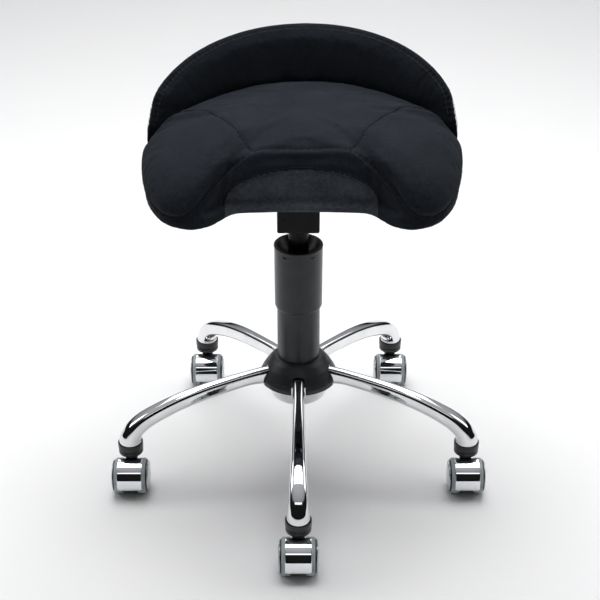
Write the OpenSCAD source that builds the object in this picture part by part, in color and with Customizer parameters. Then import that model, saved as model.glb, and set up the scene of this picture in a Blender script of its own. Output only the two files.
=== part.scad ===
// Drum throne: saddle seat with a low back ridge on a gas lift, a telescopic
// column cover and a five-leg castor base.
// Origin: on the column axis at floor level. +Z up, -Y is the front of the seat.

/* [Base] */
// Radius of the circle through the castor stems
stem_circle_r = 250; // [240:1:260]
// Height of the leg sockets' lower face above the floor
socket_z = 70; // [69:0.5:72]
// Radius of a leg socket at its lower end
socket_r = 15.9; // [15:0.1:16]
// Width of a leg at the hub
leg_hub_w = 18; // [14:1:19]
// Width of a leg at its bend
leg_end_w = 27; // [22:1:28]

/* [Castors] */
// Radius of a castor wheel
wheel_r = 25; // [24.5:0.1:25]
// Horizontal offset of the axle from the stem
trail = 17; // [16:0.5:18]
// Radius of a castor stem
stem_r = 5.5; // [5:0.1:6]
// Half width of the castor hood
hood_half_w = 17.4; // [16:0.1:18]

/* [Column] */
// Outer radius of the lower sleeve
lower_sleeve_r = 29.9; // [29.5:0.1:30]
// Outer radius of the upper sleeve at its lower end
upper_sleeve_r = 33; // [33:0.1:34]
// Outer radius of the rim at the top of the upper sleeve
rim_r = 33.8; // [33.4:0.1:35]
// Radius of the gas cylinder
gas_r = 14; // [13.8:0.1:14]
// Radius of the piston rod
rod_r = 5; // [4.5:0.1:5.2]

/* [Seat] */
// Height of the underside of the seat pan
seat_z = 450; // [450:1:452]
// Height of the crown of the cushion
crown_z = 539; // [530:1:550]
// Height of the top of the back ridge
ridge_z = 602; // [590:1:625]
// Width of the mechanism bracket
bracket_w = 55.8; // [54:0.2:58]
// Depth of the mechanism bracket
bracket_d = 120; // [110:2:130]

/* [Hidden] */
$fn = 64;

// Small overlap that makes cutters pass right through
eps = 1;

// --- Base ---------------------------------------------------------------
LEGS = 5;
leg_step = 360 / LEGS;
// Names of the castor places, counted from the front towards +X
PLACES = ["front", "right", "back_right", "back_left", "left"];

// Moves a part that is drawn at the front stem to place i, without turning it
module at_stem(i)
    translate([stem_circle_r * sin(i * leg_step), -stem_circle_r * cos(i * leg_step), 0]) children();

// Turns a part that is drawn along -Y to leg i
module at_leg(i) rotate([0, 0, i * leg_step]) children();

// Radius, top height and underside height of a leg's side outline
LEG_TOP = [[20, 157], [60, 154], [100, 150], [140, 144], [175, 135.5], [205, 125], [228, 115],
           [243, 106.5], [254, 97], [261, 86], [264, 74]];
LEG_UNDER = [[240, 74], [236, 84], [226, 94], [205, 105], [175, 115.5], [140, 124], [100, 131],
             [60, 137], [20, 140]];

// One point between p1 and p2 on a smooth curve through p0, p1, p2 and p3
function curve_point(p0, p1, p2, p3, t) =
    0.5 * (2 * p1 + (p2 - p0) * t + (2 * p0 - 5 * p1 + 4 * p2 - p3) * t * t
    + (3 * p1 - p0 - 3 * p2 + p3) * t * t * t);

// Smooth open curve through pts with n steps between each pair
function smooth_open(pts, n) = [
    for (i = [0:len(pts) - 2])
        for (j = [0:n - 1])
            curve_point(pts[max(i - 1, 0)], pts[i], pts[i + 1], pts[min(i + 2, len(pts) - 1)], j / n),
    pts[len(pts) - 1]
];

module leg_side() {
    rotate([90, 0, -90])
        linear_extrude(height = 60, center = true)
            polygon(concat(smooth_open(LEG_TOP, 3), smooth_open(LEG_UNDER, 2)));
}

module leg_plan() {
    translate([0, 0, 60])
        linear_extrude(height = 120)
            polygon([[-leg_hub_w / 2, 0], [leg_hub_w / 2, 0], [leg_hub_w / 2, -90],
                     [leg_end_w / 2, -235], [leg_end_w / 2, -270], [-leg_end_w / 2, -270],
                     [-leg_end_w / 2, -235], [-leg_hub_w / 2, -90]]);
}

hub_low_z = 104;
hub_top_z = 160;
tube_r = 25;
taper_drop = 1;
stem_top_z = 92;

module hub_body() {
    rotate_extrude()
        polygon([[0, hub_low_z], [33, hub_low_z], [38, 108], [42, 118], [43, 130], [42, 146],
                 [38, 154], [33, hub_top_z], [0, hub_top_z]]);
}

module tube_taper(gap) {
    translate([0, 0, hub_low_z])
        cylinder(h = hub_top_z - hub_low_z, r1 = tube_r - taper_drop + gap, r2 = tube_r + gap);
}

module star_base() {
    color("silver")
    difference() {
        union() {
            hub_body();
            for (i = [0:LEGS - 1])
                at_leg(i) {
                    intersection() {
                        leg_side();
                        leg_plan();
                    }
                    translate([0, -stem_circle_r, socket_z])
                        cylinder(h = 26, r1 = socket_r, r2 = socket_r - 1.7);
                }
        }
        tube_taper(0.02);
        translate([0, 0, hub_low_z - eps])
            cylinder(h = 2 * eps, r = tube_r - taper_drop + 0.02);
        translate([0, 0, hub_top_z - eps])
            cylinder(h = 2 * eps, r = tube_r + 0.02);
        for (i = [0:LEGS - 1])
            at_leg(i)
                translate([0, -stem_circle_r, socket_z - eps])
                    cylinder(h = stem_top_z - socket_z + 1.5 * eps, r = stem_r + 0.02);
    }
}

stem_low_z = 44;

module castor_stems() {
    color("dimgray")
    for (i = [0:LEGS - 1])
        at_stem(i)
            translate([0, 0, stem_low_z])
                cylinder(h = stem_top_z - stem_low_z, r = stem_r);
}

// Moulded dome over the hub, with one notch for each leg
cover_top_z = 171;
cover_low_z = 134;
notch_w = leg_hub_w + 1.4;
notch_z = 158.4;

module hub_cover() {
    color([0.16, 0.17, 0.19])
    difference() {
        rotate_extrude()
            polygon([[tube_r + 0.1, cover_top_z], [31, cover_top_z], [34.5, 169.6], [39, 165.8],
                     [46, 157], [52, 147], [55, 140], [56, cover_low_z], [53.6, cover_low_z],
                     [52.6, 139.4], [49.8, 146], [43.8, 155.6], [37, 164], [33.5, 166.8],
                     [30.6, 168], [tube_r + 0.1, 168]]);
        for (i = [0:LEGS - 1])
            at_leg(i)
                translate([-notch_w / 2, -80, cover_low_z - eps])
                    cube([notch_w, 46, notch_z - cover_low_z + eps]);
    }
}

// --- Gas lift -----------------------------------------------------------
tube_low_z = 108;
tube_top_z = 286;
tube_wall = 2;
floor_t = 4;

module column_tube() {
    color([0.12, 0.12, 0.13])
    difference() {
        union() {
            intersection() {
                tube_taper(0);
                translate([0, 0, tube_low_z]) cylinder(h = 200, r = 40);
            }
            translate([0, 0, hub_top_z])
                cylinder(h = tube_top_z - hub_top_z, r = tube_r);
        }
        translate([0, 0, tube_low_z + floor_t])
            cylinder(h = tube_top_z, r = tube_r - tube_wall - taper_drop);
        translate([0, 0, tube_low_z - eps])
            cylinder(h = floor_t + 2 * eps, r = rod_r + 0.05);
    }
}

bush_low_z = 246;

module guide_bush() {
    color("ivory")
    difference() {
        translate([0, 0, bush_low_z])
            cylinder(h = tube_top_z - bush_low_z, r = tube_r - tube_wall - taper_drop);
        translate([0, 0, bush_low_z - eps])
            cylinder(h = 60, r = gas_r + 0.05);
    }
}

bearing_h = 5;

module thrust_bearing() {
    color("lightgray")
    translate([0, 0, tube_low_z + floor_t])
        difference() {
            cylinder(h = bearing_h, r = 11);
            translate([0, 0, -eps]) cylinder(h = bearing_h + 2 * eps, r = rod_r + 0.05);
        }
}

collar_z = tube_low_z + floor_t + bearing_h;
piston_z = 262;

module piston_rod() {
    color("gainsboro")
    difference() {
        union() {
            translate([0, 0, hub_low_z + 0.5]) cylinder(h = piston_z - hub_low_z, r = rod_r);
            translate([0, 0, collar_z + 0.05]) cylinder(h = 2, r = 8);
            translate([0, 0, piston_z]) cylinder(h = 9, r = 12.2);
        }
        translate([0, 0, tube_low_z - 2.4])
            rotate_extrude()
                translate([rod_r - 0.8, 0]) square([2, 1.6]);
    }
}

module retaining_clip() {
    color("gray")
    translate([0, 0, tube_low_z - 2.3])
        difference() {
            cylinder(h = 1.4, r = 8);
            translate([0, 0, -eps]) cylinder(h = 4, r = rod_r - 0.7);
            translate([-3, 0, -eps]) cube([6, 12, 4]);
        }
}

module bump_stop() {
    color([0.2, 0.2, 0.2])
    translate([0, 0, collar_z + 2.1])
        difference() {
            cylinder(h = 5, r = 11);
            translate([0, 0, -eps]) cylinder(h = 8, r = rod_r + 0.02);
        }
}

gas_low_z = 160;
socket_low_z = 386;
gas_top_z = 422;
taper_r = 13.2;
valve_r = 4.5;

module gas_cylinder() {
    color([0.1, 0.1, 0.11])
    difference() {
        union() {
            translate([0, 0, gas_low_z]) cylinder(h = socket_low_z - gas_low_z, r = gas_r);
            translate([0, 0, socket_low_z])
                cylinder(h = gas_top_z - socket_low_z, r1 = gas_r, r2 = taper_r);
        }
        translate([0, 0, gas_low_z + 15]) cylinder(h = 230, r = 12.3);
        translate([0, 0, gas_low_z - eps]) cylinder(h = 20, r = rod_r + 0.05);
        translate([0, 0, gas_top_z - 10]) cylinder(h = 20, r = valve_r + 0.05);
    }
}

button_z = 432.3;

module valve_button() {
    color("crimson")
    translate([0, 0, gas_top_z - 6])
        intersection() {
            cylinder(h = button_z - gas_top_z + 6, r = valve_r);
            translate([0, 0, button_z - gas_top_z + 6 - 14]) sphere(r = 14);
        }
}

// --- Telescopic column cover --------------------------------------------
lower_top_z = 303;
middle_low_z = 249;
middle_top_z = 320;
upper_low_z = 252;
upper_top_z = 346;

module lower_sleeve() {
    color([0.24, 0.25, 0.27])
    rotate_extrude()
        polygon([[tube_r + 0.1, cover_top_z], [lower_sleeve_r, cover_top_z],
                 [lower_sleeve_r, lower_top_z], [lower_sleeve_r - 1.5, lower_top_z],
                 [lower_sleeve_r - 1.5, cover_top_z + 3], [tube_r + 0.1, cover_top_z + 3]]);
}

module middle_sleeve() {
    color([0.22, 0.23, 0.25])
    rotate_extrude()
        polygon([[lower_sleeve_r + 0.25, middle_low_z], [lower_sleeve_r + 1.1, middle_low_z],
                 [lower_sleeve_r + 1.35, middle_low_z + 0.6], [lower_sleeve_r + 1.35, middle_top_z],
                 [lower_sleeve_r + 0.25, middle_top_z]]);
}

inner_r = lower_sleeve_r + 1.6;
// Height of the band below the rim that the snap windows are cut in
window_z = upper_top_z - 9;

module upper_sleeve() {
    color([0.22, 0.23, 0.25])
    difference() {
        rotate_extrude()
            polygon([[inner_r, upper_low_z], [upper_sleeve_r - 1, upper_low_z],
                     [upper_sleeve_r - 0.3, upper_low_z + 0.8], [upper_sleeve_r, upper_low_z + 2.2],
                     [rim_r - 0.5, upper_top_z - 6], [rim_r - 0.5, upper_top_z - 3.4],
                     [rim_r, upper_top_z - 2.8], [rim_r, upper_top_z - 1], [rim_r - 1, upper_top_z],
                     [inner_r, upper_top_z]]);
        for (turn = [-34, 34, 146, 214])
            rotate([0, 0, turn])
                translate([-3, -rim_r - eps, window_z])
                    cube([6, 6, 1.8]);
    }
}

module sleeve_cap() {
    color([0.1, 0.1, 0.11])
    rotate_extrude()
        polygon([[inner_r - 0.1, upper_top_z - 0.6], [inner_r - 1.4, upper_top_z - 0.6],
                 [26, 338], [16, 327], [gas_r + 0.03, 326.5], [gas_r + 0.03, 323.5],
                 [16.6, 323.5], [25.8, 334], [28.3, 340], [inner_r - 0.1, 342]]);
}

// --- Mechanism under the seat -------------------------------------------
plate_t = 4;
plate_w = 150;
plate_d = 170;
sheet_t = 3;
bracket_z = 390;
plate_z = seat_z - plate_t;
bolt_x = 58;
bolt_y = 66;
pivot_x = 19.5;
pivot_z = 436;
pin_r = 2.5;
lever_r = 3.5;
lug_y = 6;
lug_t = 3;

module cone_socket() {
    color([0.15, 0.15, 0.16])
    difference() {
        translate([0, 0, socket_low_z])
            cylinder(h = 34, r = 19);
        translate([0, 0, socket_low_z])
            cylinder(h = gas_top_z - socket_low_z, r1 = gas_r + 0.02, r2 = taper_r + 0.02);
        translate([0, 0, socket_low_z - eps])
            cylinder(h = 2 * eps, r = gas_r + 0.02);
    }
}

module mechanism_bracket() {
    color([0.09, 0.09, 0.1])
    difference() {
        union() {
            translate([-bracket_w / 2, -bracket_d / 2, bracket_z + 4])
                cube([bracket_w, bracket_d, plate_z - bracket_z - 4]);
            // Rolled lower edges at the front and the back
            intersection() {
                translate([-bracket_w / 2, -bracket_d / 2, bracket_z])
                    cube([bracket_w, bracket_d, 10]);
                union() {
                    for (side = [-1, 1])
                        translate([-bracket_w / 2, side * (bracket_d / 2 - 4), bracket_z + 4])
                            rotate([0, 90, 0]) cylinder(h = bracket_w, r = 4);
                    translate([-bracket_w / 2, 4 - bracket_d / 2, bracket_z])
                        cube([bracket_w, bracket_d - 8, 10]);
                }
            }
            translate([-plate_w / 2, -plate_d / 2, plate_z])
                cube([plate_w, plate_d, plate_t]);
        }
        // Hollow of the channel, leaving the two lever lugs
        difference() {
            translate([sheet_t - bracket_w / 2, sheet_t - bracket_d / 2, bracket_z + sheet_t])
                cube([bracket_w - 2 * sheet_t, bracket_d - 2 * sheet_t,
                      plate_z - bracket_z - sheet_t]);
            for (side = [-1, 1])
                translate([pivot_x - 4.5, side * (lug_y + lug_t / 2) - lug_t / 2, pivot_z - 5.5])
                    cube([10, lug_t, plate_z - pivot_z + 6]);
        }
        translate([0, 0, bracket_z - eps]) cylinder(h = sheet_t + 2 * eps, r = 19.02);
        translate([pivot_x, 0, pivot_z])
            rotate([90, 0, 0]) cylinder(h = 40, r = pin_r + 0.01, center = true);
        // Window in the side wall that the lever passes through
        translate([bracket_w / 2 - sheet_t - eps, 0, pivot_z + 0.3])
            rotate([0, 90, 0]) cylinder(h = sheet_t + 2 * eps, r = lever_r + 2);
        for (sx = [-1, 1], sy = [-1, 1])
            translate([sx * bolt_x, sy * bolt_y, plate_z - eps])
                cylinder(h = plate_t + 2 * eps, r = 4.3);
    }
}

module lever_pin() {
    color("gray")
    translate([pivot_x, 0, pivot_z])
        rotate([90, 0, 0])
            cylinder(h = 21, r = pin_r, center = true);
}

bend_x = [34, 56];
grip_z = 412;
grip_x = 112;
lever_end_x = 150;

module lever_rod() {
    color([0.12, 0.12, 0.13])
    difference() {
        union() {
            translate([-3, 0, pivot_z])
                rotate([0, 90, 0]) cylinder(h = bend_x[0] + 3, r = lever_r);
            translate([bend_x[0], 0, pivot_z]) sphere(r = lever_r);
            translate([bend_x[0], 0, pivot_z])
                rotate([0, 90 + atan2(pivot_z - grip_z, bend_x[1] - bend_x[0]), 0])
                    cylinder(h = norm([bend_x[1] - bend_x[0], pivot_z - grip_z]), r = lever_r);
            translate([bend_x[1], 0, grip_z]) sphere(r = lever_r);
            translate([bend_x[1], 0, grip_z])
                rotate([0, 90, 0]) cylinder(h = lever_end_x - bend_x[1], r = lever_r);
            translate([pivot_x, 0, pivot_z])
                rotate([90, 0, 0]) cylinder(h = 11, r = 4.8, center = true);
        }
        translate([pivot_x, 0, pivot_z])
            rotate([90, 0, 0]) cylinder(h = 20, r = pin_r + 0.05, center = true);
    }
}

grip_end_x = 162;
grip_w = 22;
grip_t = 11;

module lever_grip() {
    color([0.08, 0.08, 0.09])
    difference() {
        hull() {
            translate([grip_x, 0, grip_z]) rotate([0, 90, 0]) cylinder(h = 2, r = 5.5, $fn = 32);
            for (side = [-1, 1])
                translate([grip_end_x - 5, side * (grip_w / 2 - 4), grip_z])
                    sphere(r = grip_t / 2, $fn = 32);
        }
        translate([grip_x - eps, 0, grip_z])
            rotate([0, 90, 0]) cylinder(h = lever_end_x - grip_x + 1.2 * eps, r = lever_r + 0.01);
    }
}

pan_t = 10;

module mounting_bolts() {
    color("gray")
    for (sx = [-1, 1], sy = [-1, 1])
        translate([sx * bolt_x, sy * bolt_y, plate_z]) {
            translate([0, 0, -1.5]) cylinder(h = 1.5, r = 9);
            translate([0, 0, -6.5])
                difference() {
                    cylinder(h = 5, r = 6.5);
                    translate([0, 0, -eps]) cylinder(h = 3.5, r = 3.4, $fn = 6);
                }
            cylinder(h = plate_t + pan_t - 1, r = 4);
        }
}

module tee_nuts() {
    color("darkgray")
    for (sx = [-1, 1], sy = [-1, 1])
        translate([sx * bolt_x, sy * bolt_y, 0])
            difference() {
                union() {
                    translate([0, 0, seat_z]) cylinder(h = pan_t - 1.2, r = 5.5);
                    translate([0, 0, seat_z + pan_t - 1.2]) cylinder(h = 1.2, r = 11);
                }
                translate([0, 0, seat_z - eps]) cylinder(h = pan_t + 2 * eps, r = 4.02);
            }
}

// --- Seat ---------------------------------------------------------------
// Centre and radius of the crease between the cushion and the back ridge
crease_y = -94;
crease_r = 220;
crease_turn = 57;
// Centre and radius of the ridge's outer face
back_y = -20;
back_r = 206;
back_turn = 83;

// Half outline of the front of the cushion, from the middle of the notch to the ridge
FRONT = [[0, -123], [48, -123.5], [82, -126], [100, -135], [113, -153], [126, -169], [146, -176],
         [173, -160], [194, -120], [206, -70], [210, -20], [207, 2]];

function crease_at(turn) = [crease_r * sin(turn), crease_y + crease_r * cos(turn)];

half_outline = concat(smooth_open(FRONT, 4),
    [for (turn = [crease_turn:-crease_turn / 14:0.1]) crease_at(turn)], [crease_at(0)]);
// Whole outline, walked from the notch round by +X and back by -X
outline = concat(half_outline,
    [for (i = [len(half_outline) - 2:-1:1]) [-half_outline[i][0], half_outline[i][1]]]);

// Smooth step from 0 to 1 as v goes from a to b
function ramp(v, a, b) = let (t = min(max((v - a) / (b - a), 0), 1)) t * t * (3 - 2 * t);

// Height of the top seam above the pan at a point of the outline: high in the notch,
// low on the thigh lobes and the sides, high again along the ridge
lobe_h = 18;
notch_h = crown_z - seat_z - 6;
// How far the crease lies above the lobes' seam at its ends, and its further rise in the middle
crease_rise = 46;
crease_arch = 20;
function seam_h(p) =
    p[1] > 4
        ? lobe_h + crease_rise
            + crease_arch * ramp(crease_turn - abs(atan2(p[0], p[1] - crease_y)), 0, 50)
        : p[1] < -100 && abs(p[0]) < 146
            ? lobe_h + (notch_h - lobe_h) * (1 - ramp(abs(p[0]), 50, 150))
            : lobe_h + 14 * ramp(p[1], -150, 0);

cushion_mid = [0, -8];
dome_start = 0.3;

// Rings of the cushion: [how far from the middle, kind of height, fraction of it]
WALL = [[0.95, 0], [0.975, 0.3], [0.99, 0.65], [0.992, 1]];
DOME = [0.96, 0.91, 0.85, 0.77, 0.67, 0.55, 0.4, 0.2];

function ring_point(p, s) = cushion_mid + (p - cushion_mid) * s;
function dome_z(p, s) =
    let (low = seat_z + seam_h(p), t = max((s - dome_start) / (1 - dome_start), 0))
        low + (crown_z - low) * sqrt(max(1 - pow(t, 2.6), 0));
cushion_low_z = seat_z + pan_t;

cushion_points = concat(
    [for (w = WALL) for (p = outline)
        let (q = ring_point(p, w[0]), top = dome_z(p, 0.992))
            [q[0], q[1], cushion_low_z + (max(top, cushion_low_z + 6) - cushion_low_z) * w[1]]],
    [for (s = DOME) for (p = outline)
        let (q = ring_point(p, s)) [q[0], q[1], max(dome_z(p, s), cushion_low_z + 7)]],
    [[cushion_mid[0], cushion_mid[1], cushion_low_z], [cushion_mid[0], cushion_mid[1], crown_z]]
);

// Triangles that close a stack of rings of n points with a low and a high middle point
function ring_faces(n, rings) = concat(
    [for (k = [0:rings - 2]) for (i = [0:n - 1])
        [k * n + i, (k + 1) * n + i, (k + 1) * n + (i + 1) % n]],
    [for (k = [0:rings - 2]) for (i = [0:n - 1])
        [k * n + i, (k + 1) * n + (i + 1) % n, k * n + (i + 1) % n]],
    [for (i = [0:n - 1]) [rings * n, i, (i + 1) % n]],
    [for (i = [0:n - 1]) [rings * n + 1, (rings - 1) * n + (i + 1) % n, (rings - 1) * n + i]]
);

module seat_cushion() {
    color([0.15, 0.16, 0.18])
    polyhedron(points = cushion_points,
               faces = ring_faces(len(outline), len(WALL) + len(DOME)), convexity = 4);
}

// Drop of the ridge's top line from its middle to its ends, and of the ends' rounding
ridge_drop = 63;
ridge_end_drop = 22;
crease_end_h = 60;
crease_mid_h = 85;

// Height of the ridge's top line, and of its crease with the cushion, at u from -1 to 1
function rim_z(u) = ridge_z - ridge_drop * pow(abs(u), 2.1) - ridge_end_drop * ramp(abs(u), 0.9, 1);
function crease_z(u) = seat_z + crease_end_h + (crease_mid_h - crease_end_h) * (1 - pow(abs(u), 2));

// Closed section of the ridge at u: fraction of the way from the crease to the outer
// face, and height
function ridge_section(u) =
    let (top = rim_z(u), fold = min(crease_z(u), top - 10))
        [[0.02, cushion_low_z], [0.02, (cushion_low_z + fold) / 2], [0.02, fold],
         [0.2, fold + (top - fold) * 0.42], [0.4, fold + (top - fold) * 0.84], [0.54, top - 1.2],
         [0.68, top], [0.81, top - 3], [0.92, top - 12], [0.98, (2 * top + cushion_low_z) / 3],
         [1, (top + cushion_low_z) / 2], [0.98, cushion_low_z + 14], [0.92, cushion_low_z]];

RIDGE_STEPS = 40;
ridge_points = [
    for (k = [0:RIDGE_STEPS])
        let (u = 2 * k / RIDGE_STEPS - 1,
             inner = [(crease_r + 0.4) * sin(u * crease_turn),
                      crease_y + (crease_r + 0.4) * cos(u * crease_turn)],
             outer = [back_r * sin(u * back_turn), back_y + back_r * cos(u * back_turn)])
            for (q = ridge_section(u))
                let (m = inner + (outer - inner) * q[0]) [m[0], m[1], q[1]]
];
section_n = len(ridge_section(0));
ridge_n = (RIDGE_STEPS + 1) * section_n;
// Middle of a list of points from index a
function middle(pts, a, n) = [for (axis = [0:2]) let (v = [for (i = [a:a + n - 1]) pts[i][axis]])
    v * [for (i = v) 1] / n];
// The two end faces are fans round their middles
ridge_solid_points = concat(ridge_points,
    [middle(ridge_points, 0, section_n), middle(ridge_points, RIDGE_STEPS * section_n, section_n)]);
ridge_faces = concat(
    [for (k = [0:RIDGE_STEPS - 1]) for (i = [0:section_n - 1])
        [k * section_n + i, k * section_n + (i + 1) % section_n,
         (k + 1) * section_n + (i + 1) % section_n]],
    [for (k = [0:RIDGE_STEPS - 1]) for (i = [0:section_n - 1])
        [k * section_n + i, (k + 1) * section_n + (i + 1) % section_n, (k + 1) * section_n + i]],
    [for (i = [0:section_n - 1]) [ridge_n, (i + 1) % section_n, i]],
    [for (i = [0:section_n - 1])
        [ridge_n + 1, RIDGE_STEPS * section_n + i, RIDGE_STEPS * section_n + (i + 1) % section_n]]
);

module back_ridge() {
    color([0.08, 0.09, 0.1])
    polyhedron(points = ridge_solid_points, faces = ridge_faces, convexity = 6);
}

// Corners of the pan: the front outline drawn in a little, then the back's arc
pan_inset = 0.93;
pan_half = concat([for (p = FRONT) ring_point(p, pan_inset)],
    [for (turn = [74:-8:0]) [(back_r - 14) * sin(turn), back_y + (back_r - 14) * cos(turn)]]);

module seat_pan() {
    color("burlywood")
    difference() {
        translate([0, 0, seat_z])
            linear_extrude(height = pan_t)
                polygon(concat(pan_half,
                    [for (i = [len(pan_half) - 1:-1:0]) [-pan_half[i][0], pan_half[i][1]]]));
        for (sx = [-1, 1], sy = [-1, 1])
            translate([sx * bolt_x, sy * bolt_y, seat_z]) {
                translate([0, 0, -eps]) cylinder(h = pan_t + 2 * eps, r = 5.52);
                translate([0, 0, pan_t - 1.2]) cylinder(h = 2, r = 11.02);
            }
    }
}

// --- Castors ------------------------------------------------------------
// Everything below is drawn round the stem axis, with the axle towards -Y
collar_low_z = 55;
collar_h = socket_z - 0.3 - collar_low_z;
collar_r = 17.6;
collar_lip = 2.6;
core_half_w = 9;
neck_r = 8.5;
axle_r = 3;
disc_r = 20;

// Puts a part that is drawn round the Z axis on the axle, pointing to +X
module on_axle() translate([0, -trail, wheel_r]) rotate([0, 90, 0]) children();

module castor_housing(i) {
    color([0.1, 0.1, 0.11])
    at_stem(i)
        difference() {
            union() {
                on_axle() cylinder(h = 2 * core_half_w, r = disc_r, center = true);
                translate([0, 0, 18]) cylinder(h = collar_low_z - 18 + eps, r = neck_r);
                translate([0, 0, collar_low_z])
                    rotate_extrude()
                        polygon([[0, 0], [15.4, 0], [collar_r - 0.4, 0.8], [collar_r - 0.4, 6.2],
                                 [collar_r - 1.4, 7], [collar_r, 8],
                                 [collar_r, collar_h + collar_lip], [collar_r - 1, collar_h + collar_lip],
                                 [collar_r - 1, collar_h], [0, collar_h]]);
            }
            translate([0, 0, stem_low_z - 0.5])
                cylinder(h = 40, r = stem_r + 0.05);
            on_axle() cylinder(h = 60, r = axle_r + 0.01, center = true);
        }
}

hood_inner_r = wheel_r + 0.6;
hood_outer_r = wheel_r + 1.8;
// The hood's ends, in degrees from straight up: behind the axle and in front of it
hood_back = 10;
hood_front = 106;

module castor_hood(i) {
    color("silver")
    at_stem(i)
        translate([0, -trail, wheel_r])
            rotate([0, 90, 0])
                // Turned so that the sweep starts at the rear end and goes over the front
                rotate([0, 0, 180 - hood_back])
                    rotate_extrude(angle = hood_front + hood_back) {
                        translate([hood_inner_r, -hood_half_w])
                            square([hood_outer_r - hood_inner_r, 2 * hood_half_w]);
                        translate([disc_r + 0.02, -4])
                            square([hood_inner_r - disc_r + 0.2, 8]);
                    }
}

module castor_axle(i) {
    color("gainsboro")
    at_stem(i) on_axle() cylinder(h = 42, r = axle_r, center = true);
}

// One wheel on the +X side, round the axle: ring, web and hub, open towards the core
module wheel_shape() {
    rotate_extrude()
        polygon([[axle_r + 0.06, 9.6], [6.5, 9.6], [6.5, 17], [20.2, 17], [20.2, 9.8],
                 [wheel_r - 1.2, 9.8], [wheel_r, 11.4], [wheel_r, 20.4], [wheel_r - 1.6, 22],
                 [axle_r + 0.06, 22]]);
}

// Dome cap that snaps on a wheel's outer side
module cap_shape() {
    rotate_extrude()
        polygon([[0, 22.02], [22.6, 22.02], [22.6, 23], [21.6, 24], [18.4, 24.4], [17.8, 24.2],
                 [15, 25.3], [10, 26.2], [5, 26.6], [0, 26.7]]);
}

module wheel(i, side) {
    color([0.66, 0.7, 0.7])
    at_stem(i) on_axle() mirror([0, 0, side < 0 ? 1 : 0]) wheel_shape();
}

module wheel_cap(i, side) {
    color("silver")
    at_stem(i) on_axle() mirror([0, 0, side < 0 ? 1 : 0]) cap_shape();
}

star_base();
hub_cover();
column_tube();
guide_bush();
thrust_bearing();
retaining_clip();
lower_sleeve();
castor_stems();
piston_rod();
bump_stop();
middle_sleeve();
gas_cylinder();
upper_sleeve();
sleeve_cap();
cone_socket();
mechanism_bracket();
lever_rod();
lever_grip();
lever_pin();
valve_button();
mounting_bolts();
tee_nuts();
seat_pan();
seat_cushion();
back_ridge();
for (i = [0:LEGS - 1]) {
    castor_housing(i);
    castor_hood(i);
    castor_axle(i);
    wheel(i, -1);
    wheel(i, 1);
    wheel_cap(i, -1);
    wheel_cap(i, 1);
}
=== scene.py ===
# Looks of the drum throne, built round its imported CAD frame. Sizes are in millimetres.
import math

import bmesh
import bpy
import numpy as np
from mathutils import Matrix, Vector
from mathutils.bvhtree import BVHTree
from mathutils.kdtree import KDTree


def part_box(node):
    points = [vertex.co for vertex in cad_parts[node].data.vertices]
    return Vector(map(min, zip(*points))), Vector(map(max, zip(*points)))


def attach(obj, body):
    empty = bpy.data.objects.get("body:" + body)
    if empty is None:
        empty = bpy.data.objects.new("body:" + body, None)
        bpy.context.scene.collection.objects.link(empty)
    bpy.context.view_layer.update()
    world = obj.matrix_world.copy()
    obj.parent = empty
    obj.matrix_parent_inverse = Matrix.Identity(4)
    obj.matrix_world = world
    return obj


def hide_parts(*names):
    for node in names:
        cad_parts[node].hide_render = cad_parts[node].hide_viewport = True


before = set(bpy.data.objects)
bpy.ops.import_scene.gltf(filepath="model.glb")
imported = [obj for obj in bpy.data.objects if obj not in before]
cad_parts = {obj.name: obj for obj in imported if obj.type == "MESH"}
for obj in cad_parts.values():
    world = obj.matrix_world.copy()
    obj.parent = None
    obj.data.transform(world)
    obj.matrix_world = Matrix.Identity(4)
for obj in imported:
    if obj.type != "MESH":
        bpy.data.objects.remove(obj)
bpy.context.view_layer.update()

scene = bpy.context.scene
MM = 0.001
PLACES = ["front", "right", "back_right", "back_left", "left"]
SIDES = {"right": 1, "left": -1}
LEG_TURN = 2 * math.pi / len(PLACES)
STEM_CIRCLE = 250.0


# --- Materials ------------------------------------------------------------

def new_material(name, colour, roughness, metallic=0.0, specular=0.5, sheen=0.0):
    """A Principled material whose uniform numbers are set on the shader itself."""
    material = bpy.data.materials.new(name)
    material.use_nodes = True
    shader = material.node_tree.nodes["Principled BSDF"]
    shader.inputs["Base Color"].default_value = (*colour, 1)
    shader.inputs["Roughness"].default_value = roughness
    shader.inputs["Metallic"].default_value = metallic
    shader.inputs["Specular IOR Level"].default_value = specular
    shader.inputs["Sheen Weight"].default_value = sheen
    shader.inputs["Sheen Roughness"].default_value = 0.4
    return material


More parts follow.
